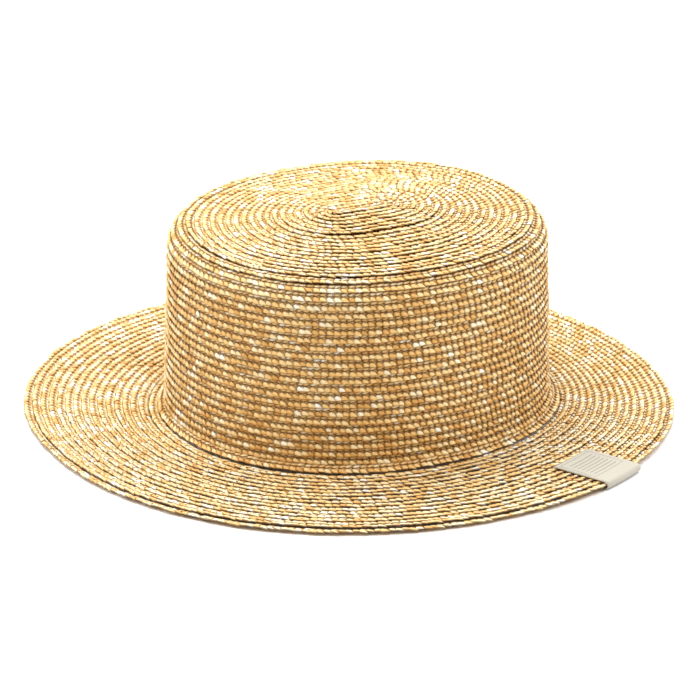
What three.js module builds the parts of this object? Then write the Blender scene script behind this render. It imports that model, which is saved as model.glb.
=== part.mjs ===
// Boater hat of sewn straw braid, resting on its brim.
// Millimetres, +Z up, floor at z = 0, X from back to front. The braid's weave is finer than this model.
import * as THREE from 'three';

// Crown: an oval wall that leans in a little, a rounded tip edge and a low domed tip
const crownLength = 196.6; // outside, at the foot of the wall
const crownWidth = 177.4;
const crownPower = 2.1; // 2 is an ellipse, more is squarer
const crownShift = { x: 3, y: -1.6 }; // from the middle of the brim
const tipHeight = 100.3; // from the floor to the rim of the tip
const tipDome = 4.6; // rise from that rim to the middle, flat at both
const tipEdgeRadius = 13;
const wallLean = 2.1; // how far in the wall's upper end is
const wallThickness = 2;

// Corner course: the single braid that slants from the wall's foot out to the brim
const cornerReach = 5.6;
const cornerRise = 3.6; // above the brim's top
const cornerInnerEdge = 1.1; // depth of its upper, inner edge

// Brim: from the crown's oval out to a rim that is nearly round
const brimLength = 324.2;
const brimWidth = 322.6;
const brimPower = 2.09;
const brimThickness = 2.6;

// Edge course: the last braid, tucked under the brim's rim
const edgeReveal = 3.2; // how far it stands out past the brim
const edgeLap = 2; // how far it goes under the brim
const edgeThickness = 1.2;

// Cloth label, folded round the rim
const labelAngle = THREE.MathUtils.degToRad(-65.2); // from +X, seen from above
const labelWidth = 28.5;
const labelTopLength = 30; // from the rim inwards, above the brim
const labelUnderLength = 24; // and below it
const labelThickness = 0.6;

// Gap that neighbours keep, and the local rise of the rim that leaves room for the label's lower flap
const clearance = 0.3;
const labelLift = labelThickness + clearance;
const liftMargin = 3; // the rise goes this far past the label's inner end
const liftEase = THREE.MathUtils.degToRad(16); // over which the rise fades out along the rim

// Fineness of the facets
const segments = 90;
const wallSteps = 3;
const edgeSteps = 5;
const tipShares = [1, 0.8, 0.55, 0.28]; // rings of the tip, as shares of its size

const { lerp, smoothstep } = THREE.MathUtils;
const turn = (index) => (index / segments) * 2 * Math.PI;

// Distance from an oval's centre to its outline, at an angle
function ovalRadius(halfLength, halfWidth, power, angle) {
  const across = Math.abs(Math.cos(angle) / halfLength) ** power;
  const along = Math.abs(Math.sin(angle) / halfWidth) ** power;
  return (across + along) ** (-1 / power);
}

// Point on an oval ring at an angle. An oval is { x, y, halfLength, halfWidth, power, z }
function ovalPoint(oval, angle) {
  const radius = ovalRadius(oval.halfLength, oval.halfWidth, oval.power, angle);
  return [oval.x + radius * Math.cos(angle), oval.y + radius * Math.sin(angle), oval.z];
}

// The crown's oval moved out by a distance, at a height
function crownOval(outward, z) {
  return {
    ...crownShift,
    halfLength: crownLength / 2 + outward,
    halfWidth: crownWidth / 2 + outward,
    power: crownPower,
    z,
  };
}

// An oval of the brim: share 0 is its inner edge, share 1 its rim, and inward moves it in by a distance
function brimOval(share, inward, z) {
  const inner = crownOval(cornerReach + clearance, z);
  return {
    x: lerp(inner.x, 0, share),
    y: lerp(inner.y, 0, share),
    halfLength: lerp(inner.halfLength, brimLength / 2, share) - inward,
    halfWidth: lerp(inner.halfWidth, brimWidth / 2, share) - inward,
    power: lerp(inner.power, brimPower, share),
    z,
  };
}

// Mesh through rings of points. The rings run round a section counter-clockwise, outwards being right.
// Without poles the last ring joins the first, with poles the two ends close on a point each.
function meshThroughRings(rings, poles = []) {
  const positions = rings.flat(2);
  const indices = [];
  const at = (ring, index) => ring * segments + (index % segments);
  const bands = poles.length ? rings.length - 1 : rings.length;
  for (let ring = 0; ring < bands; ring += 1) {
    const next = (ring + 1) % rings.length;
    for (let index = 0; index < segments; index += 1) {
      indices.push(at(ring, index), at(ring, index + 1), at(next, index + 1));
      indices.push(at(ring, index), at(next, index + 1), at(next, index));
    }
  }
  if (poles.length) {
    const first = positions.length / 3;
    const last = first + 1;
    const end = rings.length - 1;
    positions.push(...poles[0], ...poles[1]);
    for (let index = 0; index < segments; index += 1) {
      indices.push(first, at(0, index + 1), at(0, index));
      indices.push(at(end, index), at(end, index + 1), last);
    }
  }
  const geometry = new THREE.BufferGeometry();
  geometry.setAttribute('position', new THREE.Float32BufferAttribute(positions, 3));
  geometry.setIndex(indices);
  geometry.computeVertexNormals();
  return geometry;
}

// Points of one oval ring, with an optional rise that depends on the angle
function ringPoints(oval, rise = () => 0) {
  return Array.from({ length: segments }, (_, index) => {
    const [x, y, z] = ovalPoint(oval, turn(index));
    return [x, y, z + rise(turn(index))];
  });
}

// Radius of the rim where the label is, and the shares of the brim where its rise starts and is full
const rimRadius = ovalRadius(brimLength / 2, brimWidth / 2, brimPower, labelAngle);
const innerEdge = ovalPoint(brimOval(0, 0, 0), labelAngle);
const brimReach = rimRadius - Math.hypot(innerEdge[0], innerEdge[1]);
const liftFull = 1 - (labelTopLength + liftMargin) / brimReach;
const liftStart = liftFull * 0.45;

// Rise of the rim, full over the label and one facet more on each side
function rimRise(angle) {
  const labelEnd = rimRadius - labelTopLength;
  const full = Math.atan2(labelWidth / 2, labelEnd) + turn(1);
  const turned = Math.abs(Math.atan2(Math.sin(angle - labelAngle), Math.cos(angle - labelAngle)));
  return labelLift * (1 - smoothstep(turned, full, full + liftEase));
}

// The wall leans in from its foot up to the shoulder, where the rounded tip edge starts
const wallFoot = brimThickness + cornerRise + clearance;
const shoulder = tipHeight - tipEdgeRadius;

// Rings of one face of the wall, at a depth in the straw, from the foot up
function wallRings(depth) {
  return Array.from({ length: wallSteps + 1 }, (_, step) => {
    const z = lerp(wallFoot, shoulder - clearance, step / wallSteps);
    const lean = (wallLean * (z - wallFoot)) / (shoulder - wallFoot);
    return crownOval(-depth - lean, z);
  });
}

// Rings of one face of the rounded tip edge, from the shoulder up
function tipEdgeRings(depth) {
  const radius = tipEdgeRadius - depth;
  return Array.from({ length: edgeSteps + 1 }, (_, step) => {
    const arc = (step / edgeSteps) * (Math.PI / 2);
    const inset = depth + wallLean + radius * (1 - Math.cos(arc));
    return crownOval(-inset, shoulder + radius * Math.sin(arc));
  });
}

// Rings of one face of the tip, from its rim in
function tipRings(depth) {
  const rim = crownOval(-wallLean - tipEdgeRadius - clearance, tipHeight - depth);
  return tipShares.map((share) => ({
    ...rim,
    halfLength: rim.halfLength * share,
    halfWidth: rim.halfWidth * share,
    z: rim.z + tipDome * (1 - smoothstep(share, 0, 1)),
  }));
}

// Wall of straw between an inner and an outer face, both listed from the same end
function shellBetween(inside, outside, poles) {
  const rings = [...inside.reverse(), ...outside].map((oval) => ringPoints(oval));
  return meshThroughRings(rings, poles);
}

function tipGeometry() {
  const pole = (depth) => [crownShift.x, crownShift.y, tipHeight - depth + tipDome];
  return shellBetween(tipRings(wallThickness), tipRings(0), [pole(wallThickness), pole(0)]);
}

function tipEdgeGeometry() {
  return shellBetween(tipEdgeRings(wallThickness), tipEdgeRings(0));
}

function sideGeometry() {
  return shellBetween(wallRings(wallThickness), wallRings(0));
}

function cornerGeometry() {
  const top = brimThickness + cornerRise;
  const section = [
    [-wallThickness, top - cornerInnerEdge],
    [cornerReach, 0],
    [cornerReach, brimThickness],
    [0, top],
    [-wallThickness, top],
  ];
  return meshThroughRings(section.map(([outward, z]) => ringPoints(crownOval(outward, z))));
}

function brimGeometry() {
  const rabbet = edgeReveal + edgeLap;
  const step = edgeThickness + clearance;
  const section = [
    { share: 0, inward: 0, z: 0, rise: 0 },
    { share: liftStart, inward: 0, z: 0, rise: 0 },
    { share: liftFull, inward: 0, z: 0, rise: 1 },
    { share: 1, inward: rabbet, z: 0, rise: 1 },
    { share: 1, inward: rabbet, z: step, rise: 1 },
    { share: 1, inward: edgeReveal, z: step, rise: 1 },
    { share: 1, inward: edgeReveal, z: brimThickness, rise: 1 },
    { share: liftFull, inward: 0, z: brimThickness, rise: 1 },
    { share: liftStart, inward: 0, z: brimThickness, rise: 0 },
    { share: 0, inward: 0, z: brimThickness, rise: 0 },
  ];
  return meshThroughRings(
    section.map(({ share, inward, z, rise }) =>
      ringPoints(brimOval(share, inward, z), (angle) => rise * rimRise(angle))),
  );
}

function edgeGeometry() {
  const inner = edgeReveal + edgeLap - clearance;
  const section = [
    [inner, 0],
    [0, 0],
    [0, edgeThickness],
    [inner, edgeThickness],
  ];
  return meshThroughRings(section.map(([inward, z]) => ringPoints(brimOval(1, inward, z), rimRise)));
}

// The label's folded section lies in a plane through the rim, and is as long as the label is wide
function labelGeometry() {
  const innerRadius = brimThickness / 2 + clearance;
  const outerRadius = innerRadius + labelThickness;
  const middle = outerRadius; // the lower flap lies on the floor
  const foldAt = rimRadius; // the fold then clears the rim by the clearance all round
  const shape = new THREE.Shape();
  shape.moveTo(rimRadius - labelUnderLength, 0);
  shape.lineTo(foldAt, 0);
  shape.absarc(foldAt, middle, outerRadius, -Math.PI / 2, Math.PI / 2, false);
  shape.lineTo(rimRadius - labelTopLength, middle + outerRadius);
  shape.lineTo(rimRadius - labelTopLength, middle + innerRadius);
  shape.lineTo(foldAt, middle + innerRadius);
  shape.absarc(foldAt, middle, innerRadius, Math.PI / 2, -Math.PI / 2, true);
  shape.lineTo(rimRadius - labelUnderLength, middle - innerRadius);
  const geometry = new THREE.ExtrudeGeometry(shape, {
    depth: labelWidth,
    steps: 1,
    bevelEnabled: false,
    curveSegments: 10,
  });
  geometry.translate(0, 0, -labelWidth / 2);
  const outwards = new THREE.Vector3(Math.cos(labelAngle), Math.sin(labelAngle), 0);
  const up = new THREE.Vector3(0, 0, 1);
  const along = new THREE.Vector3().crossVectors(outwards, up);
  geometry.applyMatrix4(new THREE.Matrix4().makeBasis(outwards, up, along));
  return geometry;
}

// Finishes
const straw = { color: 0xd0ae78, roughness: 0.55, metalness: 0 };
const shadedStraw = { color: 0xb58c5c, roughness: 0.6, metalness: 0 };
const cloth = { color: 0xe2dac9, roughness: 0.9, metalness: 0 };

function namedMesh(name, geometry, finish) {
  const mesh = new THREE.Mesh(geometry, new THREE.MeshStandardMaterial(finish));
  mesh.name = name;
  return mesh;
}

const hat = new THREE.Group();
hat.add(namedMesh('tip', tipGeometry(), straw));
hat.add(namedMesh('tip_edge', tipEdgeGeometry(), straw));
hat.add(namedMesh('side', sideGeometry(), straw));
hat.add(namedMesh('corner_braid', cornerGeometry(), shadedStraw));
hat.add(namedMesh('brim', brimGeometry(), straw));
hat.add(namedMesh('edge_braid', edgeGeometry(), shadedStraw));
hat.add(namedMesh('label', labelGeometry(), cloth));

export default hat;
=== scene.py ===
"""A boater hat of sewn straw braid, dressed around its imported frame.

The braid is plaited from flat straws. One length of it winds from the middle of the tip to the
rim, and each course lies over the next one out. A cloth label is folded round the rim.
"""

from __future__ import annotations

import logging
import math
from dataclasses import dataclass
from enum import Enum

import bpy
import numpy as np
from mathutils import Matrix, Vector


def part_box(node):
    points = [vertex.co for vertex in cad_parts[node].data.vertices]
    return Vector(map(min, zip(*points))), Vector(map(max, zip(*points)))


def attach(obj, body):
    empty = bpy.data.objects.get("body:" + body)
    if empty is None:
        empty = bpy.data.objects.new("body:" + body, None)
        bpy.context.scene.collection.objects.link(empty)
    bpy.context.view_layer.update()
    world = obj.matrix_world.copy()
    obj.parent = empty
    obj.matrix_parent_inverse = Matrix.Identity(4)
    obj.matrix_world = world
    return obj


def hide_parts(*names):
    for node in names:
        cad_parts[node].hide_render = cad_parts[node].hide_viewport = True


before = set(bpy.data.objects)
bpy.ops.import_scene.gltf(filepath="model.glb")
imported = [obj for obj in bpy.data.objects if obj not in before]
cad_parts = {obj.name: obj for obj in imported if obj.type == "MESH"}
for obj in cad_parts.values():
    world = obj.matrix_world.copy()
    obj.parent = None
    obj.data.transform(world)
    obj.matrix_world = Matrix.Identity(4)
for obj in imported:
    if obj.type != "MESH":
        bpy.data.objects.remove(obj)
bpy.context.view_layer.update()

log = logging.getLogger("boater")
MM = 0.001
BODY = "root"
TUCKED_SHIFT = 2.0  # added to U on the inner column's straws, to tell them apart for its painted shade


def smooth_step(value: np.ndarray, low: float, high: float) -> np.ndarray:
    """Ease from 0 at low to 1 at high.

    Args:
        value: Where to look, a number or an array.
        low: Where the ease starts.
        high: Where it ends.

    Returns:
        The eased share, in the same form as value.
    """
    share = np.clip((value - low) / (high - low), 0.0, 1.0)
    return share * share * (3.0 - 2.0 * share)


def half_size(node: str) -> tuple[float, float, float, float]:
    """Half length, half width and middle of a node, seen from above.

    Args:
        node: The node's name.

    Returns:
        Half length, half width, middle x and middle y, in metres.
    """
    low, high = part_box(node)
    return (
        (high[0] - low[0]) / 2,
        (high[1] - low[1]) / 2,
        (high[0] + low[0]) / 2,
        (high[1] + low[1]) / 2,
    )


@dataclass(frozen=True)
class Braid:
    """Sizes of the straw braid, in metres. A course is the step from one row to the next."""

    width: float = 5.2 * MM
    tip_course: float = 3.98 * MM
    side_course: float = 4.22 * MM
    corner_course: float = 4.9 * MM
    brim_course: float = 4.17 * MM
    stitch: float = 3.40 * MM
    stitch_spread: float = 0.34 * MM
    overlap_tilt: float = math.radians(14.0)
    loose_tilt: float = math.radians(6.0)
    loose_lift: float = 0.5 * MM
    wander: float = 0.16 * MM
    wander_lift: float = 0.096 * MM
    wander_lean: float = math.radians(1.6)
    wander_length: float = 24.0 * MM


@dataclass(frozen=True)
class Label:
    """Place and sizes of the folded cloth label, in metres."""

    angle: float = math.radians(-65.2)
    width: float = 28.5 * MM
    top_length: float = 30.0 * MM
    under_length: float = 24.0 * MM
    thickness: float = 0.5 * MM
    lift: float = 0.9 * MM


@dataclass
class HatForm:
    """The middle surface of the straw, as ovals that grow from the core of the tip to the rim."""

    braid: Braid
    label: Label
    crown_power: float = 2.1
    brim_power: float = 2.09
    core_half_length: float = 12.5 * MM
    core_shift: tuple[float, float] = (1.2 * MM, 2.2 * MM)
    brim_top: float = 2.6 * MM
    half_thickness: float = 1.15 * MM
    edge_steps: int = 12
    bend_softness: float = 1.1 * MM
    sample: float = 0.25 * MM
    least_width: float = 0.2 * MM
    oval_starts: float = 0.25  # as a share of the tip, inside which the rows are stadiums
    rim_overrun: float = 2.2 * MM
    rise_turns: tuple[float, float] = (math.radians(10.0), math.radians(26.0))
    rise_shares: tuple[float, float] = (0.2, 0.45)
    swells: tuple[tuple[float, float], ...] = (
        (1.4 * MM, math.radians(-70.0)),
        (-2.2 * MM, math.radians(12.0)),
    )
    swell_reach: float = math.radians(56.0)

    def __post_init__(self) -> None:
        """Read the other sizes off the frame."""
        self.length, self.width, self.x, self.y = half_size("side")
        self.rim_length, self.rim_width, self.rim_x, self.rim_y = half_size("edge_braid")
        shoulder_low, shoulder_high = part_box("tip_edge")
        self.tip_rim = shoulder_high[2]
        self.shoulder = shoulder_low[2]
        self.edge_radius = self.tip_rim - self.shoulder
        self.lean = self.length - half_size("tip_edge")[0]
        self.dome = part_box("tip")[1][2] - self.tip_rim
        self.corner_reach = half_size("corner_braid")[0] - self.length
        self.corner_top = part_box("corner_braid")[1][2]
        self._trace_profile()

    def _trace_profile(self) -> None:
        """Walk the profile from the core to the rim, and note what lies where along it."""
        inset = self.lean + self.edge_radius
        radius = self.edge_radius - self.half_thickness
        wall = -self.half_thickness
        points = [(-self.width, self.tip_rim - self.half_thickness)]
        for step in range(self.edge_steps + 1):
            arc = math.pi / 2 * (1 - step / self.edge_steps)
            outward, up = radius * math.cos(arc), radius * math.sin(arc)
            points.append((-inset + outward, self.shoulder + up))
        points.append((wall, self.corner_top))
        brim_middle = self.brim_top - self.half_thickness
        points.append((self.corner_reach - self.half_thickness, brim_middle))
        reach = (self.rim_length + self.rim_width - self.length - self.width) / 2
        points.append((reach, brim_middle))
        corners = np.array(points)
        steps = np.hypot(*np.diff(corners, axis=0).T)
        marks = np.concatenate([[0.0], np.cumsum(steps)])
        self.tip_run = marks[1]
        self.edge_run, self.wall_run, self.corner_run, self.full_run = marks[-4:]
        self.corner_middle = (self.wall_run + self.corner_run) / 2
        self.along = np.arange(0.0, self.full_run, self.sample)
        self.outward = self._soften(np.interp(self.along, marks, corners[:, 0]))
        self.height = self._soften(np.interp(self.along, marks, corners[:, 1]))

    def _soften(self, values: np.ndarray) -> np.ndarray:
        """Round the profile's bends over the braid's own stiffness."""
        reach = int(4 * self.bend_softness / self.sample)
        offsets = np.arange(-reach, reach + 1) * self.sample
        weights = np.exp(-((offsets / self.bend_softness) ** 2) / 2)
        slope = np.gradient(values)
        before = values[0] + slope[0] * np.arange(-reach, 0)
        after = values[-1] + slope[-1] * np.arange(1, reach + 1)
        padded = np.concatenate([before, values, after])
        return np.convolve(padded, weights / weights.sum(), mode="valid")

    @staticmethod
    def _stadium(angle: np.ndarray, core: np.ndarray, half: np.ndarray) -> np.ndarray:
        """Distance from the middle to a line of half length core, wrapped at a distance half."""
        cosine, sine = np.abs(np.cos(angle)), np.abs(np.sin(angle))
        straight = half / np.maximum(sine, 1e-9)
        rounded = core * cosine + np.sqrt(np.maximum(half**2 - (core * sine) ** 2, 0.0))
        return np.where(straight * cosine <= core, straight, rounded)

    @staticmethod
    def _oval(
        angle: np.ndarray, length: np.ndarray, width: np.ndarray, power: np.ndarray
    ) -> np.ndarray:
        """Distance from the middle to an oval with these half sizes."""
        across = (np.abs(np.cos(angle)) / length) ** power
        along = (np.abs(np.sin(angle)) / width) ** power
        return (across + along) ** (-1.0 / power)

    def rim_rise(self, angle: np.ndarray, brim_share: np.ndarray) -> np.ndarray:
        """Local rise of the rim, which leaves room for the label's lower flap."""
        turned = np.abs(np.angle(np.exp(1j * (angle - self.label.angle))))
        window = 1.0 - smooth_step(turned, *self.rise_turns)
        return self.label.lift * window * smooth_step(brim_share, *self.rise_shares)

    def _rim_swell(self, angle: np.ndarray, brim_share: np.ndarray) -> np.ndarray:
        """How much further the brim reaches, or falls short, than its oval does."""
        total = np.zeros_like(angle)
        for swell, middle in self.swells:
            turned = np.abs(np.angle(np.exp(1j * (angle - middle))))
            total += swell * (1.0 - smooth_step(turned, 0.0, self.swell_reach))
        return total * smooth_step(brim_share, 0.0, 1.0)

    def point(self, angle: np.ndarray, run: np.ndarray) -> np.ndarray:
        """Points of the middle surface.

        Args:
            angle: Direction from the middle, in radians from +X.
            run: Distance along the profile from the core of the tip.

        Returns:
            An array of points, a row each.
        """
        outward = np.interp(run, self.along, self.outward)
        height = np.interp(run, self.along, self.height)
        tip_share = np.clip(run / self.tip_run, 0.0, 1.0)
        share = np.maximum(run - self.corner_run, 0.0) / (self.full_run - self.corner_run)
        start = np.minimum(outward, self.corner_reach)
        spare = (self.core_half_length - self.length + self.width) * (1.0 - tip_share)
        length = self.length + start + spare
        width = self.width + start
        length = length + share * (self.rim_length - length)
        width = width + share * (self.rim_width - width)
        power = self.crown_power + np.clip(share, 0, 1) * (self.brim_power - self.crown_power)
        width = np.maximum(width, self.least_width)
        oval = self._oval(angle, length, width, power)
        stadium = self._stadium(angle, np.maximum(length - width, 0.0), width)
        blend = smooth_step(tip_share, self.oval_starts, 1.0)
        radius = stadium + blend * (oval - stadium) + self._rim_swell(angle, share)
        hold = 1.0 - np.clip(share, 0.0, 1.0)
        core = 1.0 - tip_share
        x = self.rim_x + (self.x - self.rim_x) * hold + self.core_shift[0] * core
        y = self.rim_y + (self.y - self.rim_y) * hold + self.core_shift[1] * core
        domed = self.dome * (1.0 - smooth_step(tip_share, 0.0, 1.0))
        z = height + domed + self.rim_rise(angle, share)
        return np.column_stack([x + radius * np.cos(angle), y + radius * np.sin(angle), z])


@dataclass
class Stations:
    """Places of the plait along the braid, each with the braid's own directions."""

    place: np.ndarray
    run: np.ndarray
    face: np.ndarray
    profile: np.ndarray
    length: np.ndarray

    def between(self, low: float, high: float) -> "Stations":
        """The stations whose distance along the profile is from low to high."""
        keep = (self.profile >= low) & (self.profile < high)
        rows = (self.place, self.run, self.face, self.profile, self.length)
        return Stations(*(row[keep] for row in rows))


@dataclass
class Winding:
    """The spiral that the braid is sewn in, counter-clockwise from above and out to the rim."""

    form: HatForm
    turn_steps: int = 1440
    front_angle: float = math.radians(-118.6)
    core_gap: float = 0.25  # of a tip course, that the braid keeps from the core
    look_along: float = 0.6 * MM
    look_across: float = 0.8 * MM
    corner_flatness: float = 0.6
    stitch_seed: int = 31
    wander_seed: int = 23
    groove_facing: float = math.radians(20.0)
    groove_fade: tuple[float, float] = (-0.5, 0.6)
    groove: tuple[float, float] = (6.65, 0.7)  # middle and spread, in tip courses from the core
    edge_step: tuple[float, float] = (0.9, 1.1)  # the same, from the tip's edge
    edge_looseness: float = 0.8
    # Turns back from the end, where the rim's looseness eases in and where it eases out.
    rim_turns: tuple[tuple[float, float], tuple[float, float]] = ((1.01, 1.06), (1.94, 1.99))

    def __post_init__(self) -> None:
        """Lay the spiral on the hat's form."""
        form = self.form
        braid = form.braid
        self.end_run = form.full_run + form.rim_overrun - braid.width / 2
        self.end_angle = form.label.angle
        self.runs = np.array([0.0, form.tip_run, form.wall_run, form.corner_run, self.end_run])
        courses = np.array(
            [braid.tip_course, braid.side_course, braid.corner_course, braid.brim_course]
        )
        counts = np.concatenate([[0.0], np.cumsum(np.diff(self.runs) / courses)])
        # The brim's turns give way a little, so that the corner course is centred at the front.
        front_turn = (self.end_angle - self.front_angle) / (2 * math.pi)
        corner_turn = counts[-1] - (counts[2] + counts[3]) / 2
        counts[-1] += round(corner_turn - front_turn) + front_turn - corner_turn
        # The tip's turns give way a little, so that the braid starts behind the core.
        part_turn = self.end_angle / (2 * math.pi)
        self.turns = round(counts[-1] - part_turn) + part_turn
        counts[1:] += self.turns - counts[-1]
        self.counts = counts - counts[-1]

    def _profile_run(self, turned: np.ndarray) -> np.ndarray:
        """Distance along the profile after that many turns back from the end."""
        run = np.interp(-turned, self.counts, self.runs)
        return np.maximum(run, self.core_gap * self.form.braid.tip_course)

    def stations(self) -> Stations:
        """Space the plait evenly along the spiral.

        Returns:
            The stations from the core to the rim.
        """
        back = np.linspace(self.turns, 0.0, int(self.turns * self.turn_steps))
        run = self._profile_run(back)
        angle = self.end_angle - back * 2 * math.pi
        line = self.form.point(angle, run)
        steps = np.linalg.norm(np.diff(line, axis=0), axis=1)
        length = np.concatenate([[0.0], np.cumsum(steps)])
        braid = self.form.braid
        marks = np.arange(braid.stitch / 2, length[-1] - braid.stitch_spread, braid.stitch)
        chance = np.random.default_rng(self.stitch_seed)
        marks += chance.uniform(-braid.stitch_spread, braid.stitch_spread, len(marks))
        sideways, lift, lean = self._wander(marks, length[-1])
        at_run = np.interp(marks, length, run)
        at_angle = np.interp(marks, length, angle)
        place = self.form.point(at_angle, at_run + sideways)
        ahead, behind = (
            np.column_stack([np.interp(marks + step, length, line[:, k]) for k in range(3)])
            for step in (self.look_along, -self.look_along)
        )
        along = self._unit(ahead - behind)
        outer = self.form.point(at_angle, at_run + self.look_across)
        inner = self.form.point(at_angle, at_run - self.look_across)
        face = self._unit(np.cross(outer - inner, along))
        across = np.cross(along, face)
        loose = self._looseness(at_run, at_angle)
        laid = self._bell(at_run, self.form.corner_middle, 0.5 * braid.corner_course)
        overlap = braid.overlap_tilt * (1.0 - self.corner_flatness * laid)
        tilt = (overlap + braid.loose_tilt * loose + lean)[:, None]
        tilted = face * np.cos(tilt) - across * np.sin(tilt)
        rise = (lift + braid.loose_lift * loose)[:, None]
        return Stations(place + face * rise, along, tilted, at_run, marks)

    def _wander(self, marks: np.ndarray, total: float) -> list[np.ndarray]:
        """Small uneven places of a hand-guided seam: sideways, in height and in lean."""
        braid = self.form.braid
        chance = np.random.default_rng(self.wander_seed)
        knots = np.arange(0.0, total + 2 * braid.wander_length, braid.wander_length)
        sizes = (braid.wander, braid.wander_lift, braid.wander_lean)
        smooth = []
        for size in sizes:
            values = chance.uniform(-size, size, len(knots))
            place = marks / braid.wander_length
            low = place.astype(int)
            share = smooth_step(place - low, 0.0, 1.0)
            smooth.append(values[low] * (1.0 - share) + values[low + 1] * share)
        return smooth

    def _looseness(self, run: np.ndarray, angle: np.ndarray) -> np.ndarray:
        """How far the rows stand off, from 0 to 1: one on the tip, its edge's and the rim's."""
        course = self.form.braid.tip_course
        front = smooth_step(-np.sin(angle - self.groove_facing), *self.groove_fade)
        middle, spread = self.groove
        groove = self._bell(run, middle * course, spread * course) * front
        middle, spread = self.edge_step
        edge = self._bell(run, self.form.tip_run + middle * course, spread * course)
        turned = (self.end_angle - angle) / (2 * math.pi)
        start, end = self.rim_turns
        rim = smooth_step(turned, *start) * (1.0 - smooth_step(turned, *end))
        return np.maximum(np.maximum(groove, self.edge_looseness * edge), rim)

    @staticmethod
    def _bell(values: np.ndarray, middle: float, spread: float) -> np.ndarray:
        """1 where a value is at the middle, easing to 0 beyond the spread."""
        return np.exp(-(((values - middle) / spread) ** 2))

    @staticmethod
    def _unit(vectors: np.ndarray) -> np.ndarray:
        """The same directions, each of length 1."""
        return vectors / np.linalg.norm(vectors, axis=1, keepdims=True)


class Graph:
    """Short ways to add nodes and links to one node tree."""

    def __init__(self, tree: bpy.types.NodeTree) -> None:
        """Work on a tree.

        Args:
            tree: A shader or geometry node tree.
        """
        self.tree = tree

    def add(self, kind: str, settings: dict | None = None, **inputs: object) -> bpy.types.Node:
        """Add a node, set its properties and fill its inputs.

        Args:
            kind: The node's type name.
            settings: Properties by name.
            **inputs: Values or output sockets, by input name with _ for a space, or by place as
                i0 or i1.

        Returns:
            The new node.
        """
        node = self.tree.nodes.new(kind)
        for name, value in (settings or {}).items():
            setattr(node, name, value)
        for name, value in inputs.items():
            self.set(self._input(node, name), value)
        return node

    @staticmethod
    def _input(node: bpy.types.Node, name: str) -> bpy.types.NodeSocket:
        """An input by its place, as i0, or by its name."""
        if name[0] == "i" and name[1:].isdigit():
            return node.inputs[int(name[1:])]
        wanted = name.replace("_", " ").lower()
        shown = [socket for socket in node.inputs if socket.name.lower() == wanted]
        usable = [socket for socket in shown if socket.enabled]
        return (usable or shown)[0]

    def set(self, socket: bpy.types.NodeSocket, value: object) -> None:
        """Link an output to the socket, or give it a value."""
        if isinstance(value, bpy.types.NodeSocket):
            self.tree.links.new(value, socket)
        else:
            socket.default_value = value

    def math(self, operation: str, first: object, second: object = 0.0) -> bpy.types.NodeSocket:
        """The result of a Math node."""
        return self.add("ShaderNodeMath", {"operation": operation}, i0=first, i1=second).outputs[0]

    def scale(self, vector: object, factor: object) -> bpy.types.NodeSocket:
        """A vector times a number."""
        node = self.add("ShaderNodeVectorMath", {"operation": "SCALE"}, i0=vector)
        self.set(node.inputs["Scale"], factor)
        return node.outputs[0]

    def ease(self, value: object, low: float, high: float) -> bpy.types.NodeSocket:
        """0 where a value is at low and 1 where it is at high."""
        node = self.add("ShaderNodeMapRange", Value=value, From_Min=low, From_Max=high)
        return node.outputs[0]

    def mix(self, factor: object, first: object, second: object) -> bpy.types.NodeSocket:
        """The result of a colour mix."""
        node = self.add("ShaderNodeMix", {"data_type": "RGBA"}, i0=factor, i6=first, i7=second)
        return node.outputs[2]

    def times(self, first: object, second: object) -> bpy.types.NodeSocket:
        """One value times another."""
        return self.math("MULTIPLY", first, second)


class Lay(Enum):
    """How the braid lies, flat or on the wall.

    Each lay has its own copy of the straw finish, and on the wall its painted shade is darker
    at the crossings and in the hollows.
    """

    FLAT = ("straw_flat", 0.25, 0.80)
    WALL = ("straw_wall", 1.0, 0.92)

    def __init__(self, finish: str, crossing: float, shade: float) -> None:
        """Name the lay's values.

        Args:
            finish: Name of the finish.
            crossing: How dark the painted shade line is where the two columns cross, from 0 to 1.
            shade: How much the painted shade darkens the hollows between the straws, from 0 to 1.
        """
        self.finish = finish
        self.crossing = crossing
        self.shade = shade


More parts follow.
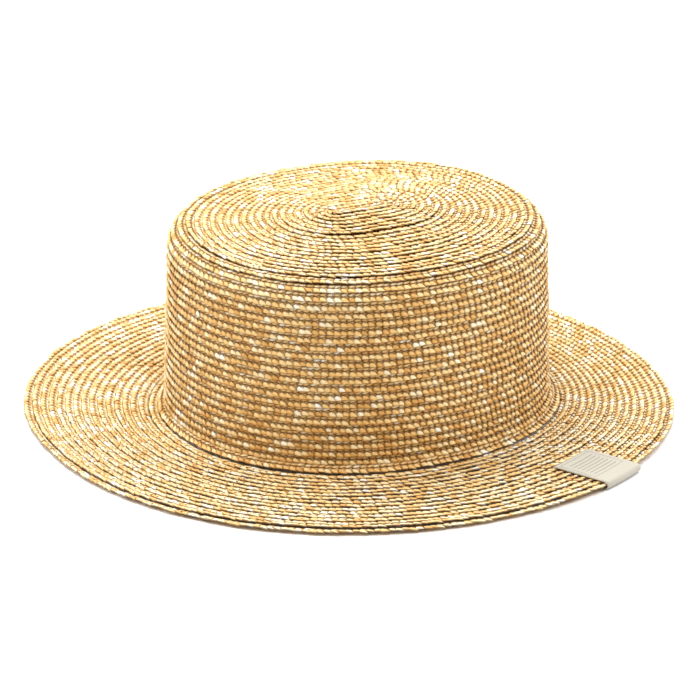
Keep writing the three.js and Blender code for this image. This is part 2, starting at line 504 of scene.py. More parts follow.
@dataclass(frozen=True)
class StrawFinish:
    """Split wheat straw: satin, finely ribbed along each straw, from pale cream to orange-gold.

    The hollows between the straws are darkened with painted shade.
    """

    tones: tuple[tuple[float, tuple[float, float, float]], ...] = (
        (0.00, (0.62, 0.32, 0.075)),
        (0.28, (0.78, 0.46, 0.145)),
        (0.55, (0.86, 0.60, 0.255)),
        (0.80, (0.90, 0.74, 0.45)),
        (1.00, (0.95, 0.89, 0.76)),
    )
    # Dark colour of the painted shade, blended into the hollows between the straws.
    painted_shade_colour: tuple[float, float, float] = (0.12, 0.046, 0.010)
    cloud_scale: float = 26.0
    cloud_drift: float = 0.5
    rib_count: float = 9.0
    rib_length: float = 1.3
    rib_streak: float = 0.55
    rib_depth: float = 0.12 * MM
    rib_strength: float = 0.35
    tone_apart: float = 93.0  # how far straws of unlike tone lie apart in the ribs' noise
    gloss: tuple[float, float] = (0.34, 0.56)
    specular: float = 0.45
    # Where each mask of painted shade fades in: at the straws' sides, in the pits and on the
    # crossing near the mid-line, at the fold of the outer edge, and on the tucked inner column.
    # Reach is 0 at the braid's mid-line and 1 at its edge, and aside is 0 along a straw's middle
    # and 1 at its sides.
    pit_reach: tuple[float, float] = (0.42, 0.16)
    pit_aside: tuple[float, float] = (0.05, 0.60)
    crossing_reach: tuple[float, float] = (0.20, 0.07)
    fold_reach: tuple[float, float] = (0.93, 1.0)
    tuck_reach: tuple[float, float] = (0.42, 0.64)
    side_power: float = 4.0
    side_shade: float = 0.75
    fold_shade: float = 0.9
    tuck_shade: tuple[float, float] = (0.14, 0.66)

    def fibre_and_shade_group(self) -> bpy.types.NodeTree:
        """Fine ribs along a straw, and painted shade in the hollows round it.

        Returns:
            A group with inputs UV, Tone, Ribs and Crossing, and outputs Rib and Painted Shade.
            The straws of the inner column have their U moved on by TUCKED_SHIFT.
        """
        group = bpy.data.node_groups.new("straw_fibre_and_painted_shade", "ShaderNodeTree")
        face = group.interface
        face.new_socket("UV", in_out="INPUT", socket_type="NodeSocketVector")
        for name in ("Tone", "Ribs", "Crossing"):
            face.new_socket(name, in_out="INPUT", socket_type="NodeSocketFloat")
        for name in ("Rib", "Hollow"):
            face.new_socket(name, in_out="OUTPUT", socket_type="NodeSocketFloat")
        graph = Graph(group)
        given = graph.add("NodeGroupInput")
        split = graph.add("ShaderNodeSeparateXYZ", Vector=given.outputs["UV"])
        tucked = graph.math("GREATER_THAN", split.outputs[0], TUCKED_SHIFT - 0.5)
        reach = graph.math("SUBTRACT", split.outputs[0], graph.times(tucked, TUCKED_SHIFT))
        along = graph.times(reach, self.rib_length)
        across = graph.times(split.outputs[1], given.outputs["Ribs"])
        apart = graph.times(given.outputs["Tone"], self.tone_apart)
        place = graph.add("ShaderNodeCombineXYZ", X=along, Y=across, Z=apart)
        noise = graph.add("ShaderNodeTexNoise", Vector=place.outputs[0], Scale=1.0, Detail=2.0)
        middle = graph.math("ABSOLUTE", graph.math("SUBTRACT", split.outputs[1], 0.5))
        aside = graph.times(middle, 2.0)
        # Painted shade at each straw's sides, between neighbouring straws.
        side = graph.times(graph.math("POWER", aside, self.side_power), self.side_shade)
        # Painted shade in the pits near the mid-line, at the straws' sides.
        deep_end = graph.ease(reach, *self.pit_reach)
        pit = graph.times(deep_end, graph.ease(aside, *self.pit_aside))
        # A painted shade line where the two columns cross, as strong as Crossing.
        crossed = graph.ease(reach, *self.crossing_reach)
        outline = graph.times(crossed, given.outputs["Crossing"])
        # A painted shade line along the fold at the braid's outer edge, where it steps down to the
        # next course.
        fold = graph.times(graph.ease(reach, *self.fold_reach), self.fold_shade)
        # Painted shade on the tucked inner column: a little all over, more where it runs under the
        # course inside it.
        least, more = self.tuck_shade
        tuck = graph.times(graph.ease(reach, *self.tuck_reach), more)
        under = graph.times(graph.math("ADD", tuck, least), tucked)
        # All the painted shade, as the strongest of the masks.
        deep = graph.math("MAXIMUM", graph.math("MAXIMUM", pit, outline), under)
        painted_shade_mask = graph.math("MAXIMUM", side, graph.math("MAXIMUM", deep, fold))
        out = graph.add("NodeGroupOutput")
        graph.set(out.inputs["Rib"], noise.outputs["Fac"])
        graph.set(out.inputs["Hollow"], painted_shade_mask)
        return group

    def material(self, fibre_shade: bpy.types.NodeTree, lay: Lay) -> bpy.types.Material:
        """A straw material.

        Args:
            fibre_shade: The shared group of fibre ribs and painted shade.
            lay: How the braid lies, which sets how dark its painted shade is.

        Returns:
            The material.
        """
        material = bpy.data.materials.new(lay.finish)
        material.use_nodes = True
        graph = Graph(material.node_tree)
        shader = material.node_tree.nodes["Principled BSDF"]
        tone = graph.add("ShaderNodeAttribute", {"attribute_name": "tone"}).outputs["Fac"]
        uv = graph.add("ShaderNodeUVMap", {"uv_map": "straw"}).outputs[0]
        # The group gives the straw's ribs and its painted shade.
        ribs = graph.add("ShaderNodeGroup", {"node_tree": fibre_shade}, UV=uv, Tone=tone)
        ribs.inputs["Ribs"].default_value = self.rib_count
        ribs.inputs["Crossing"].default_value = lay.crossing
        rib = ribs.outputs["Rib"]
        place = graph.add("ShaderNodeTexCoord").outputs["Object"]
        cloud = graph.add("ShaderNodeTexNoise", Vector=place, Scale=self.cloud_scale, Detail=2.0)
        off_middle = graph.math("SUBTRACT", cloud.outputs["Fac"], 0.5)
        drift = graph.times(off_middle, self.cloud_drift)
        streak = graph.times(graph.math("SUBTRACT", rib, 0.5), self.rib_streak)
        shown = graph.math("ADD", graph.math("ADD", tone, drift), streak)
        ramp = graph.add("ShaderNodeValToRGB", Fac=shown)
        stops = ramp.color_ramp.elements
        while len(stops) < len(self.tones):
            stops.new(0.5)
        for stop, (position, colour) in zip(stops, self.tones):
            stop.position = position
            stop.color = (*colour, 1.0)
        # Painted shade: the hollows blend towards the dark colour, as strongly as the lay asks.
        dark = graph.times(ribs.outputs["Hollow"], lay.shade)
        colour = graph.mix(dark, ramp.outputs[0], (*self.painted_shade_colour, 1.0))
        graph.set(shader.inputs["Base Color"], colour)
        smooth, rough = self.gloss
        gloss = graph.add("ShaderNodeMapRange", Value=rib, To_Min=smooth, To_Max=rough).outputs[0]
        graph.set(shader.inputs["Roughness"], gloss)
        bump = graph.add(
            "ShaderNodeBump",
            Height=rib,
            Strength=self.rib_strength,
            Distance=self.rib_depth,
        )
        graph.set(shader.inputs["Normal"], bump.outputs[0])
        shader.inputs["Specular IOR Level"].default_value = self.specular
        return material


@dataclass(frozen=True)
class StrawSection:
    """One cross-section of a straw, as shares of the plait's own sizes."""

    out: float
    half_width: float
    middle: float
    top: float
    under: float


@dataclass(frozen=True)
class StrawShape:
    """A straw's slant, its two closed ends as (out, height), and the sections between them."""

    slant: float
    ends: tuple[tuple[float, float], tuple[float, float]]
    sections: tuple[StrawSection, ...]


@dataclass
class Plait:
    """Straws that cross in a herringbone, in an outer and an inner column along the braid."""

    braid: Braid
    straw_thickness: float = 0.66 * MM
    tape_width: float = 4.5 * MM
    tape_thickness: float = 0.2 * MM
    tape_depth: float = 0.24 * MM
    tape_overrun: float = 0.6  # of a stitch, past both ends of a piece
    tape_shade_across: float = 0.93  # as near a straw's edge, for painted shade between straws
    tape_tone: float = 0.08
    seed_middle: float = 30.0  # a column's seeds start one step above this, or one below
    seed_step: float = 20.0
    drift_place: float = 5.0  # start of the tones' noise, a metre later outside and earlier inside
    drift_range: tuple[float, float] = (0.3, 0.7)
    ring: tuple[tuple[float, float], ...] = (
        (-1.0, 0.0),
        (-0.5, 0.95),
        (0.5, 0.95),
        (1.0, 0.0),
        (0.0, -1.0),
    )
    outer_shape: StrawShape = StrawShape(
        slant=math.radians(62.0),
        ends=((-0.02, -0.48), (1.04, -0.36)),
        sections=(
            StrawSection(out=0.07, half_width=0.26, middle=-0.24, top=0.54, under=0.20),
            StrawSection(out=0.33, half_width=0.48, middle=-0.04, top=1.02, under=0.40),
            StrawSection(out=0.62, half_width=0.60, middle=0.02, top=1.16, under=0.50),
            StrawSection(out=0.88, half_width=0.67, middle=-0.02, top=0.96, under=0.46),
            StrawSection(out=1.01, half_width=0.60, middle=-0.24, top=0.44, under=0.25),
        ),
    )
    inner_shape: StrawShape = StrawShape(
        slant=math.radians(46.0),
        ends=((-0.05, -0.46), (1.04, -0.40)),
        sections=(
            StrawSection(out=0.05, half_width=0.44, middle=-0.26, top=0.50, under=0.18),
            StrawSection(out=0.31, half_width=0.57, middle=-0.12, top=0.82, under=0.36),
            StrawSection(out=0.62, half_width=0.60, middle=-0.08, top=0.84, under=0.44),
            StrawSection(out=0.88, half_width=0.60, middle=-0.12, top=0.70, under=0.40),
            StrawSection(out=1.01, half_width=0.48, middle=-0.30, top=0.34, under=0.20),
        ),
    )

    def __post_init__(self) -> None:
        """Make the finishes, the straws and the tree that lays them."""
        straw = StrawFinish()
        fibre_shade = straw.fibre_and_shade_group()
        # One copy of the straw finish for each lay, with its own strength of painted shade.
        self.finishes = {lay: straw.material(fibre_shade, lay) for lay in Lay}
        self.outer = self._straw("outer_straw", self.outer_shape, -1.0)
        self.inner = self._straw("inner_straw", self.inner_shape, 1.0)
        self.tree = self._tree()

    def _straw(self, name: str, shape: StrawShape, side: float) -> bpy.types.Object:
        """One straw as it shows from the braid's mid-line to its edge, of unit size.

        Args:
            name: The mesh's name.
            shape: Its slant and sections.
            side: The sign of Y on its side of the mid-line.

        Returns:
            The straw, with the run of the braid along X.
        """
        shear = self.braid.width / 2 / math.tan(shape.slant) / self.braid.stitch
        points = [(shear * out, side * out, height) for out, height in shape.ends]
        coords = [(0.0, 0.5), (1.0, 0.5)]
        for part in shape.sections:
            for across, rise in self.ring:
                x = shear * part.out + across * part.half_width
                z = part.middle + (part.top if rise > 0 else part.under) * rise
                points.append((x, side * part.out, z))
                coords.append((part.out, 0.5 + across / 2))
        if side > 0:
            coords = [(reach + TUCKED_SHIFT, across) for reach, across in coords]
        size, count = len(self.ring), len(shape.sections)
        rows = [[2 + row * size + k for k in range(size)] for row in range(count)]
        faces = []
        for k in range(size):
            after = (k + 1) % size
            faces.append((0, rows[0][after], rows[0][k]))
            faces.append((1, rows[-1][k], rows[-1][after]))
            for near, far in zip(rows, rows[1:]):
                faces.append((near[k], near[after], far[after], far[k]))
        if side < 0:
            faces = [tuple(reversed(face)) for face in faces]
        mesh = bpy.data.meshes.new(name)
        mesh.from_pydata(points, [], faces)
        mesh.update()
        layer = mesh.uv_layers.new(name="straw")
        for loop in mesh.loops:
            layer.data[loop.index].uv = coords[loop.vertex_index]
        return bpy.data.objects.new(name, mesh)

    def _tree(self) -> bpy.types.NodeTree:
        """The Geometry Nodes tree that lays two columns of straws along the stations."""
        tree = bpy.data.node_groups.new("plait", "GeometryNodeTree")
        face = tree.interface
        face.new_socket("Geometry", in_out="INPUT", socket_type="NodeSocketGeometry")
        for name in ("Stations", "Outer Straw", "Inner Straw"):
            face.new_socket(name, in_out="INPUT", socket_type="NodeSocketObject")
        for name, value in self._sizes().items():
            socket = face.new_socket(name, in_out="INPUT", socket_type="NodeSocketFloat")
            socket.default_value = value
        seed = face.new_socket("Seed", in_out="INPUT", socket_type="NodeSocketInt")
        seed.default_value = 7
        face.new_socket("Finish", in_out="INPUT", socket_type="NodeSocketMaterial")
        face.new_socket("Geometry", in_out="OUTPUT", socket_type="NodeSocketGeometry")
        graph = Graph(tree)
        given = graph.add("NodeGroupInput").outputs
        stations = self._geometry(graph, given["Stations"])
        joined = graph.add("GeometryNodeJoinGeometry")
        tree.links.new(given["Geometry"], joined.inputs[0])
        for side, name in ((1.0, "Outer Straw"), (-1.0, "Inner Straw")):
            straw = self._geometry(graph, given[name])
            tree.links.new(self._column(graph, given, stations, straw, side), joined.inputs[0])
        real = graph.add("GeometryNodeRealizeInstances", Geometry=joined.outputs[0])
        smooth = graph.add("GeometryNodeSetShadeSmooth", Geometry=real.outputs[0])
        done = graph.add("GeometryNodeSetMaterial", Geometry=smooth.outputs[0])
        graph.set(done.inputs["Material"], given["Finish"])
        out = graph.add("NodeGroupOutput")
        graph.set(out.inputs[0], done.outputs[0])
        return tree

    def _sizes(self) -> dict[str, float]:
        """Named sizes that the tree takes."""
        return {
            "Stitch": self.braid.stitch,
            "Half Width": self.braid.width / 2,
            "Thickness": self.straw_thickness,
            "Roll": math.radians(5.0),
            "Looseness": math.radians(6.0),
            "Size Spread": 0.09,
            "Pale": 0.86,
            "Deep": 0.28,
            "Tone Spread": 0.22,
            "Tone Runs": 105.0,
        }

    @staticmethod
    def _geometry(graph: Graph, thing: bpy.types.NodeSocket) -> bpy.types.NodeSocket:
        """The geometry of an object."""
        return graph.add("GeometryNodeObjectInfo", Object=thing).outputs["Geometry"]

    @staticmethod
    def _named(graph: Graph, name: str, kind: str) -> bpy.types.NodeSocket:
        """A named attribute of the stations."""
        node = graph.add("GeometryNodeInputNamedAttribute", {"data_type": kind}, Name=name)
        return node.outputs[0]

    @staticmethod
    def _random(graph: Graph, spread: object, seed: object) -> bpy.types.NodeSocket:
        """A random number for each straw, from minus spread to spread."""
        low = graph.times(spread, -1.0)
        node = graph.add("FunctionNodeRandomValue", {"data_type": "FLOAT"})
        graph.set(node.inputs[2], low)
        graph.set(node.inputs[3], spread)
        graph.set(node.inputs["Seed"], seed)
        return node.outputs[1]

    def _column(
        self,
        graph: Graph,
        given: bpy.types.bpy_prop_collection,
        stations: bpy.types.NodeSocket,
        straw: bpy.types.NodeSocket,
        side: float,
    ) -> bpy.types.NodeSocket:
        """Lay one column of straws.

        Args:
            graph: The tree's graph.
            given: The group's inputs.
            stations: The points to lay the straws on.
            straw: The straw's mesh.
            side: 1 for the outer column and -1 for the inner one.

        Returns:
            The column's instances.
        """
        axes = {"primary_axis": "Z", "secondary_axis": "X"}
        turn = graph.add("FunctionNodeAxesToRotation", axes)
        graph.set(turn.inputs[0], self._named(graph, "face", "FLOAT_VECTOR"))
        graph.set(turn.inputs[1], self._named(graph, "run", "FLOAT_VECTOR"))
        first = self.seed_middle + self.seed_step * side
        seeds = [graph.math("ADD", given["Seed"], first + number) for number in range(5)]
        roll = graph.math("ADD", given["Roll"], self._random(graph, given["Looseness"], seeds[0]))
        pitch = self._random(graph, given["Looseness"], seeds[1])
        yaw = self._random(graph, given["Looseness"], seeds[2])
        angles = graph.add("ShaderNodeCombineXYZ", X=pitch, Y=roll, Z=yaw)
        euler = graph.add("FunctionNodeEulerToRotation", Euler=angles.outputs[0])
        local = graph.add("FunctionNodeRotateRotation", {"rotation_space": "LOCAL"})
        graph.set(local.inputs[0], turn.outputs[0])
        graph.set(local.inputs[1], euler.outputs[0])
        size = graph.add(
            "ShaderNodeCombineXYZ",
            X=given["Stitch"],
            Y=given["Half Width"],
            Z=given["Thickness"],
        )
        grown = graph.math("ADD", 1.0, self._random(graph, given["Size Spread"], seeds[3]))
        laid = graph.add(
            "GeometryNodeInstanceOnPoints",
            Points=stations,
            Instance=straw,
            Rotation=local.outputs[0],
            Scale=graph.scale(size.outputs[0], grown),
        )
        return self._toned(graph, given, laid.outputs[0], seeds[4], side)

    def _toned(
        self,
        graph: Graph,
        given: bpy.types.bpy_prop_collection,
        straws: bpy.types.NodeSocket,
        seed: object,
        side: float,
    ) -> bpy.types.NodeSocket:
        """Give each straw its tone, which keeps near its neighbours' and jumps now and then."""
        length = self._named(graph, "length", "FLOAT")
        drift = graph.add("ShaderNodeTexNoise", {"noise_dimensions": "1D"}, Detail=1.0)
        graph.set(drift.inputs["Scale"], given["Tone Runs"])
        graph.set(drift.inputs["W"], graph.math("ADD", length, self.drift_place + side))
        low, high = self.drift_range
        base = graph.add("ShaderNodeMapRange", Value=drift.outputs[0], From_Min=low, From_Max=high)
        graph.set(base.inputs["To Min"], given["Deep"])
        graph.set(base.inputs["To Max"], given["Pale"])
        tone = graph.math("ADD", base.outputs[0], self._random(graph, given["Tone Spread"], seed))
        store = graph.add(
            "GeometryNodeStoreNamedAttribute",
            {"data_type": "FLOAT", "domain": "INSTANCE"},
            Geometry=straws,
            Name="tone",
            Value=tone,
        )
        return store.outputs[0]

    def _tape(self, name: str, stations: Stations) -> bpy.types.Object:
        """The braid's closed middle, under the straws, as a thin ribbon.

        Where it shows between the straws, the finish paints it with shade.
        """
        across = np.cross(stations.run, stations.face)
        keep = np.unique(np.append(np.arange(0, len(stations.place), 2), len(stations.place) - 1))
        sideways = across[keep] * self.tape_width / 2
        up = stations.face[keep] * self.tape_thickness / 2
        middle = stations.place[keep] - stations.face[keep] * self.tape_depth
        middle[0] -= stations.run[0] * self.tape_overrun * self.braid.stitch
        middle[-1] += stations.run[-1] * self.tape_overrun * self.braid.stitch
        near, far = middle - sideways, middle + sideways
        ring = np.stack([near + up, far + up, far - up, near - up], axis=1)
        count = len(keep)
        faces = [(0, 1, 2, 3), tuple(4 * (count - 1) + k for k in (3, 2, 1, 0))]
        for row in range(count - 1):
            for k in range(4):
                after = (k + 1) % 4
                faces.append((4 * row + k, 4 * row + 4 + k, 4 * row + 4 + after, 4 * row + after))
        mesh = bpy.data.meshes.new(name)
        mesh.from_pydata(ring.reshape(-1, 3).tolist(), [], faces)
        mesh.update()
        layer = mesh.uv_layers.new(name="straw")
        # Painted shade: this UV puts the whole ribbon near a straw's edge in the finish's masks.
        layer.data.foreach_set("uv", np.tile([0.5, self.tape_shade_across], len(mesh.loops)))
        tone = mesh.attributes.new("tone", "FLOAT", "POINT")
        tone.data.foreach_set("value", np.full(len(mesh.vertices), self.tape_tone))
        tape = bpy.data.objects.new(name, mesh)
        bpy.context.collection.objects.link(tape)
        return tape

    @staticmethod
    def _points(name: str, stations: Stations) -> bpy.types.Object:
        """The stations as bare points that carry the braid's directions."""
        mesh = bpy.data.meshes.new(name)
        mesh.from_pydata(stations.place.tolist(), [], [])
        for label, values in (("run", stations.run), ("face", stations.face)):
            layer = mesh.attributes.new(label, "FLOAT_VECTOR", "POINT")
            layer.data.foreach_set("vector", values.ravel())
        layer = mesh.attributes.new("length", "FLOAT", "POINT")
        layer.data.foreach_set("value", stations.length)
        return bpy.data.objects.new(name, mesh)

    def lay(self, stretch: Stretch, stations: Stations, seed: int) -> bpy.types.Object:
        """Plait the straws of one stretch of the braid.

        Args:
            stretch: The stretch, with its name, tones and finish.
            stations: Where the plait lies.
            seed: Which chance spread to take.

        Returns:
            The piece, as a plain mesh.
        """
        name = stretch.piece
        tape = self._tape(f"{name}_tape", stations)
        points = self._points(f"{name}_stations", stations)
        modifier = tape.modifiers.new("plait", "NODES")
        modifier.node_group = self.tree
        deep, pale = stretch.tones
        values = {
            "Stations": points,
            "Outer Straw": self.outer,
            "Inner Straw": self.inner,
            "Seed": seed,
            "Deep": deep,
            "Pale": pale,
            "Finish": self.finishes[stretch.lay],
        }
        for item in self.tree.interface.items_tree:
            if item.in_out == "INPUT" and item.name in values:
                modifier[item.identifier] = values[item.name]
        graph = bpy.context.evaluated_depsgraph_get()
        mesh = bpy.data.meshes.new_from_object(tape.evaluated_get(graph))
        mesh.name = name
        piece = bpy.data.objects.new(name, mesh)
        bpy.context.collection.objects.link(piece)
        tape.modifiers.remove(modifier)
        bpy.data.objects.remove(tape)
        bpy.data.objects.remove(points)
        return piece


class Stretch(Enum):
    """Stretches of the braid that are pieces of their own."""

    # The wall's stretches take deeper, more golden tones than the tip and the brim: partly the
    # straw's own tone, partly painted shade for the wall, which gets less light.
    TIP = ("tip_braid", "tip", (0.24, 0.88), Lay.FLAT)
    TIP_EDGE = ("tip_edge_braid", "tip_edge", (0.20, 0.86), Lay.WALL)
    SIDE_UPPER = ("side_upper_braid", "side", (0.04, 0.74), Lay.WALL)
    SIDE_LOWER = ("side_lower_braid", "side", (0.04, 0.74), Lay.WALL)
    CORNER = ("corner_course", "corner_braid", (0.04, 0.72), Lay.WALL)
    BRIM_INNER = ("brim_inner_braid", "brim", (0.24, 0.90), Lay.FLAT)
    BRIM_OUTER = ("brim_outer_braid", "brim", (0.30, 0.94), Lay.FLAT)
    RIM = ("rim_course", "edge_braid", (0.32, 0.94), Lay.FLAT)

    def __init__(self, piece: str, node: str, tones: tuple[float, float], lay: Lay) -> None:
        """Name the stretch's values.

        Args:
            piece: Name of the visible piece.
            node: Name of the node that it dresses.
            tones: Deepest and palest usual tone of its straws. The deeper lows on the crown's wall
                are partly painted shade.
            lay: How its braid lies.
        """
        self.piece = piece
        self.node = node
        self.tones = tones
        self.lay = lay


@dataclass
class StrawBody:
    """All the straw of the hat, from the core of the tip to the rim."""

    form: HatForm
    plait: Plait
    first_seed: int = 11
    brim_split: float = 0.54  # as a share of the brim, where its outer piece starts

    def _limits(self, end_run: float) -> list[tuple[Stretch, float, float]]:
        """Where each stretch starts and ends along the profile."""
        form = self.form
        foot = form.corner_middle - form.braid.corner_course / 2
        brim = form.corner_middle + form.braid.corner_course / 2
        rim = end_run - form.braid.brim_course
        starts = [
            (Stretch.TIP, -1.0),
            (Stretch.TIP_EDGE, form.tip_run),
            (Stretch.SIDE_UPPER, form.edge_run),
            (Stretch.SIDE_LOWER, (form.edge_run + foot) / 2),
            (Stretch.CORNER, foot),
            (Stretch.BRIM_INNER, brim),
            (Stretch.BRIM_OUTER, brim + (rim - brim) * self.brim_split),
            (Stretch.RIM, rim),
        ]
        ends = [start for _, start in starts[1:]] + [end_run + 1.0]
        return [(stretch, start, end) for (stretch, start), end in zip(starts, ends)]

    def build(self) -> None:
        """Plait every stretch and hang it on the body."""
        winding = Winding(self.form)
        stations = winding.stations()
        log.info("braid: %.1f m in %.1f turns", stations.length[-1], winding.turns)
        for number, (stretch, start, end) in enumerate(self._limits(winding.end_run)):
            part = stations.between(start, end)
            piece = self.plait.lay(stretch, part, self.first_seed + number)
            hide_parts(stretch.node)
            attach(piece, BODY)
            triangles = sum(len(face.vertices) - 2 for face in piece.data.polygons)
            log.info("%s: %d triangles", piece.name, triangles)


@dataclass(frozen=True)
class ClothFinish:
    """Matt cream tape with a plain weave, a thin border and ruled lines on its upper face."""

    colour: tuple[float, float, float] = (0.47, 0.44, 0.37)
    slub_shade: float = 0.94
    slub_scale: float = 0.5
    ink: tuple[float, float, float] = (0.17, 0.165, 0.15)
    ink_strength: float = 0.85
    roughness: float = 0.92
    specular: float = 0.2
    weave_strength: float = 0.25
    weave_depth: float = 0.1 * MM
    # Sizes of the weave and the print, in millimetres.
    thread_pitch: float = 0.42
    margin: float = 2.2
    border: float = 0.32
    fold_margin: float = 7.0
    rule_pitch: float = 2.4
    rule_share: tuple[float, float] = (0.38, 0.58)  # where a line starts and ends in the pitch
    rule_inset: tuple[float, float] = (2.5, 2.0)

    def material(self, label: Label) -> bpy.types.Material:
        """The label's material.

        Args:
            label: The label's sizes, for the scale of its weave.

        Returns:
            The material.
        """
        material = bpy.data.materials.new("label_cloth")
        material.use_nodes = True
        graph = Graph(material.node_tree)
        shader = material.node_tree.nodes["Principled BSDF"]
        uv = graph.add("ShaderNodeUVMap", {"uv_map": "cloth"}).outputs[0]
        split = graph.add("ShaderNodeSeparateXYZ", Vector=uv)
        across, along = split.outputs[0], split.outputs[1]
        threads = 2 * math.pi / self.thread_pitch
        warp = graph.math("SINE", graph.times(across, threads))
        weft = graph.math("SINE", graph.times(along, threads))
        weave = graph.math("ADD", graph.times(warp, weft), 1.0)
        slub = graph.add("ShaderNodeTexNoise", Vector=uv, Scale=self.slub_scale, Detail=3.0)
        shaded = (*(self.slub_shade * part for part in self.colour), 1.0)
        tinted = graph.mix(slub.outputs["Fac"], shaded, (*self.colour, 1.0))
        mask = self._print_mask(graph, across, along, label)
        ink = graph.times(mask, self.ink_strength)
        graph.set(shader.inputs["Base Color"], graph.mix(ink, tinted, (*self.ink, 1.0)))
        shader.inputs["Roughness"].default_value = self.roughness
        shader.inputs["Specular IOR Level"].default_value = self.specular
        bump = graph.add(
            "ShaderNodeBump",
            Height=weave,
            Strength=self.weave_strength,
            Distance=self.weave_depth,
        )
        graph.set(shader.inputs["Normal"], bump.outputs[0])
        return material

    @staticmethod
    def _between(graph: Graph, value: object, low: float, high: float) -> bpy.types.NodeSocket:
        """1 where a value lies between two limits."""
        above = graph.math("GREATER_THAN", value, low)
        below = graph.math("LESS_THAN", value, high)
        return graph.times(above, below)

    def _print_mask(
        self, graph: Graph, across: object, along: object, label: Label
    ) -> bpy.types.NodeSocket:
        """Thin border and ruled lines, in millimetres from a corner of the upper face."""
        low, high = self.margin, label.width / MM - self.margin
        near, far = self.margin, label.top_length / MM - self.fold_margin

        def block(aside: float, inward: float) -> bpy.types.NodeSocket:
            """1 in the printed block, less an inset on each side."""
            wide = self._between(graph, across, low + aside, high - aside)
            long = self._between(graph, along, near + inward, far - inward)
            return graph.times(wide, long)

        border = graph.math("SUBTRACT", block(0.0, 0.0), block(self.border, self.border))
        pitch = graph.math("FRACT", graph.math("DIVIDE", along, self.rule_pitch))
        rule = self._between(graph, pitch, *self.rule_share)
        return graph.math("MAXIMUM", border, graph.times(rule, block(*self.rule_inset)))


@dataclass
class FoldedLabel:
    """The cloth label, folded round the rim with a soft bend."""

    sizes: Label
    form: HatForm
    columns: int = 16
    spacing: float = 0.9 * MM
    bend_points: int = 13
    slack: float = 0.5 * MM

    def _section(self) -> np.ndarray:
        """Middle line of the cloth, as (outwards, up), from its upper end to its lower one."""
        low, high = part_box("label")
        half = self.sizes.thickness / 2
        top = high[2] - half
        bottom = low[2] + half
        radius = (top - bottom) / 2
        middle = (top + bottom) / 2
        rim = self._rim()
        flat = np.arange(self.sizes.top_length, 0.0, -self.spacing)
        upper = [(rim - distance, top) for distance in flat]
        bend = [
            (rim + radius * math.cos(a), middle + radius * math.sin(a))
            for a in np.linspace(math.pi / 2, -math.pi / 2, self.bend_points)
        ]
        back = np.arange(self.spacing, self.sizes.under_length, self.spacing)
        lower = [(rim - distance, bottom) for distance in back]
        return np.array(upper + bend + lower)

    def _rim(self) -> float:
        """Distance of the rim from the middle, at the label."""
        end = self.form.point(np.array([self.sizes.angle]), np.array([self.form.full_run]))[0]
        return math.hypot(end[0], end[1]) + self.slack

    def build(self, cloth: bpy.types.Material) -> None:
        """Fold the cloth round the rim.

        Args:
            cloth: The finish.
        """
        section = self._section()
        steps = np.hypot(*np.diff(section, axis=0).T)
        travel = np.concatenate([[0.0], np.cumsum(steps)])
        outwards = np.array([math.cos(self.sizes.angle), math.sin(self.sizes.angle), 0.0])
        sideways = np.array([-outwards[1], outwards[0], 0.0])
        points, coords = [], []
        for column in range(self.columns + 1):
            across = (column / self.columns - 0.5) * self.sizes.width
            sag = across**2 / (2 * self._rim())
            for (reach, height), length in zip(section, travel):
                place = outwards * (reach - sag) + sideways * across
                place[2] = height
                points.append(tuple(place))
                coords.append(((across + self.sizes.width / 2) / MM, length / MM))
        rows = len(section)
        faces = [
            (c * rows + r, c * rows + r + 1, (c + 1) * rows + r + 1, (c + 1) * rows + r)
            for c in range(self.columns)
            for r in range(rows - 1)
        ]
        mesh = bpy.data.meshes.new("cloth_label")
        mesh.from_pydata(points, [], faces)
        mesh.update()
        layer = mesh.uv_layers.new(name="cloth")
        for loop in mesh.loops:
            layer.data[loop.index].uv = coords[loop.vertex_index]
        mesh.shade_smooth()
        mesh.materials.append(cloth)
        piece = bpy.data.objects.new("cloth_label", mesh)
        bpy.context.collection.objects.link(piece)
        wall = piece.modifiers.new("cloth", "SOLIDIFY")
        wall.thickness = self.sizes.thickness
        wall.offset = 0.0
        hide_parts("label")
        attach(piece, BODY)


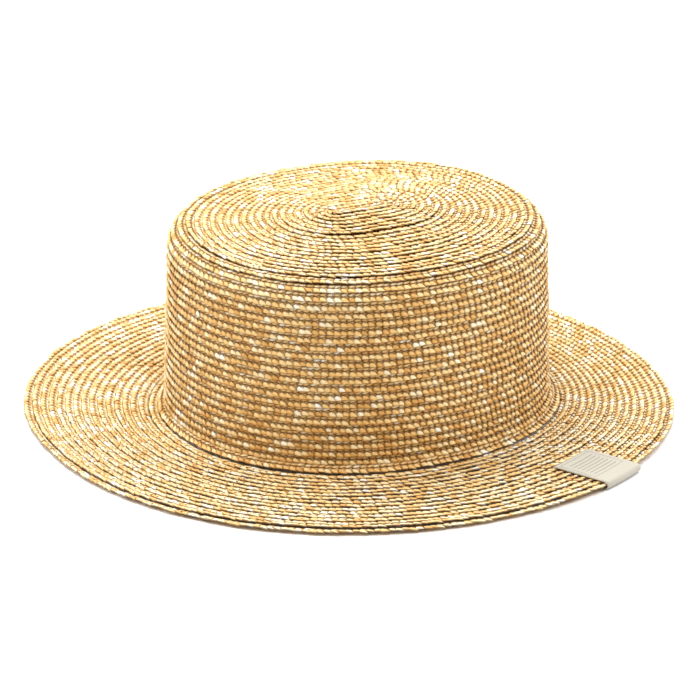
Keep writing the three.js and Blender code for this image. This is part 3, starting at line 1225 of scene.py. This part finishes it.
@dataclass
class Studio:
    """Plain pale floor, soft light from above, behind and both sides, and the camera."""

    camera_turn: float = 0.5
    camera_pitch: float = 0.388
    camera_roll: float = 0.004
    distance: float = 2.7
    focal: float = 5355.0
    aim: tuple[float, float] = (357.1, 398.7)
    aim_depth: float = 1.0 * MM
    image: int = 700
    sensor: float = 36.0
    clip_end: float = 20.0
    world_light: float = 0.34
    # Name, place to the camera's right, behind the hat and above the floor, size and power.
    lights: tuple[tuple[str, float, float, float, float, float], ...] = (
        ("key", -0.6, 0.7, 2.1, 1.3, 44.0),
        ("front", 0.2, -0.9, 2.2, 1.2, 31.0),
        ("right", 1.7, 0.2, 1.1, 0.9, 21.0),
        ("left", -1.7, 0.0, 1.1, 0.9, 18.0),
        ("back", 0.9, 2.1, 1.0, 1.3, 22.0),
    )
    floor_half: float = 6.0
    floor_drop: float = 0.2 * MM
    floor_colour: tuple[float, float, float] = (0.86, 0.86, 0.86)
    floor_roughness: float = 0.9

    def _axes(self) -> tuple[np.ndarray, np.ndarray, np.ndarray]:
        """The camera's right, up and forward directions."""
        turn, pitch, roll = self.camera_turn, self.camera_pitch, self.camera_roll
        forward = np.array(
            [math.sin(turn) * math.cos(pitch), math.cos(turn) * math.cos(pitch), -math.sin(pitch)]
        )
        right = np.array([math.cos(turn), -math.sin(turn), 0.0])
        up = np.cross(right, forward)
        level = right * math.cos(roll) + up * math.sin(roll)
        upright = up * math.cos(roll) - right * math.sin(roll)
        return level, upright, forward

    def camera(self, form: HatForm) -> None:
        """Place the camera at the photograph's viewing angle.

        Args:
            form: The hat's form, for the foot of its crown.
        """
        right, up, forward = self._axes()
        centre = np.array([form.x, form.y, form.brim_top - self.aim_depth])
        half = self.image / 2
        place = (
            centre
            - forward * self.distance
            - right * (self.aim[0] - half) / self.focal * self.distance
            + up * (self.aim[1] - half) / self.focal * self.distance
        )
        data = bpy.data.cameras.new("camera")
        data.sensor_width = self.sensor
        data.lens = self.focal / self.image * data.sensor_width
        data.clip_end = self.clip_end
        camera = bpy.data.objects.new("camera", data)
        axes = np.column_stack([right, up, -forward])
        matrix = Matrix(axes.tolist()).to_4x4()
        matrix.translation = Vector(place)
        camera.matrix_world = matrix
        bpy.context.collection.objects.link(camera)
        bpy.context.scene.camera = camera

    def light(self) -> None:
        """Light the set from square lamps that face the hat, and from the world."""
        world = bpy.data.worlds.new("studio")
        world.use_nodes = True
        background = world.node_tree.nodes["Background"]
        background.inputs[0].default_value = (1.0, 1.0, 1.0, 1.0)
        background.inputs[1].default_value = self.world_light
        bpy.context.scene.world = world
        bpy.context.scene.view_settings.view_transform = "Standard"
        right, _, forward = self._axes()
        level = np.array([forward[0], forward[1], 0.0])
        level /= np.linalg.norm(level)
        for name, side, back, height, size, power in self.lights:
            place = right * side + level * back + np.array([0.0, 0.0, height])
            data = bpy.data.lights.new(name, "AREA")
            data.size = size
            data.energy = power
            lamp = bpy.data.objects.new(name, data)
            lamp.location = place
            lamp.rotation_euler = Vector((-place).tolist()).to_track_quat("-Z", "Y").to_euler()
            bpy.context.collection.objects.link(lamp)

    def floor(self) -> None:
        """Lay the floor."""
        half = self.floor_half
        mesh = bpy.data.meshes.new("floor")
        corners = [(-half, -half, 0.0), (half, -half, 0.0), (half, half, 0.0), (-half, half, 0.0)]
        mesh.from_pydata(corners, [], [(0, 1, 2, 3)])
        material = bpy.data.materials.new("floor")
        material.use_nodes = True
        shader = material.node_tree.nodes["Principled BSDF"]
        shader.inputs["Base Color"].default_value = (*self.floor_colour, 1.0)
        shader.inputs["Roughness"].default_value = self.floor_roughness
        mesh.materials.append(material)
        floor = bpy.data.objects.new("floor", mesh)
        floor.location.z = -self.floor_drop
        bpy.context.collection.objects.link(floor)


def main() -> None:
    """Dress the hat and light it."""
    logging.basicConfig(level=logging.INFO, format="%(name)s: %(message)s")
    braid = Braid()
    label = Label()
    form = HatForm(braid, label)
    studio = Studio()
    studio.camera(form)
    studio.light()
    studio.floor()
    StrawBody(form, Plait(braid)).build()
    FoldedLabel(label, form).build(ClothFinish().material(label))


if __name__ == "__main__":
    main()
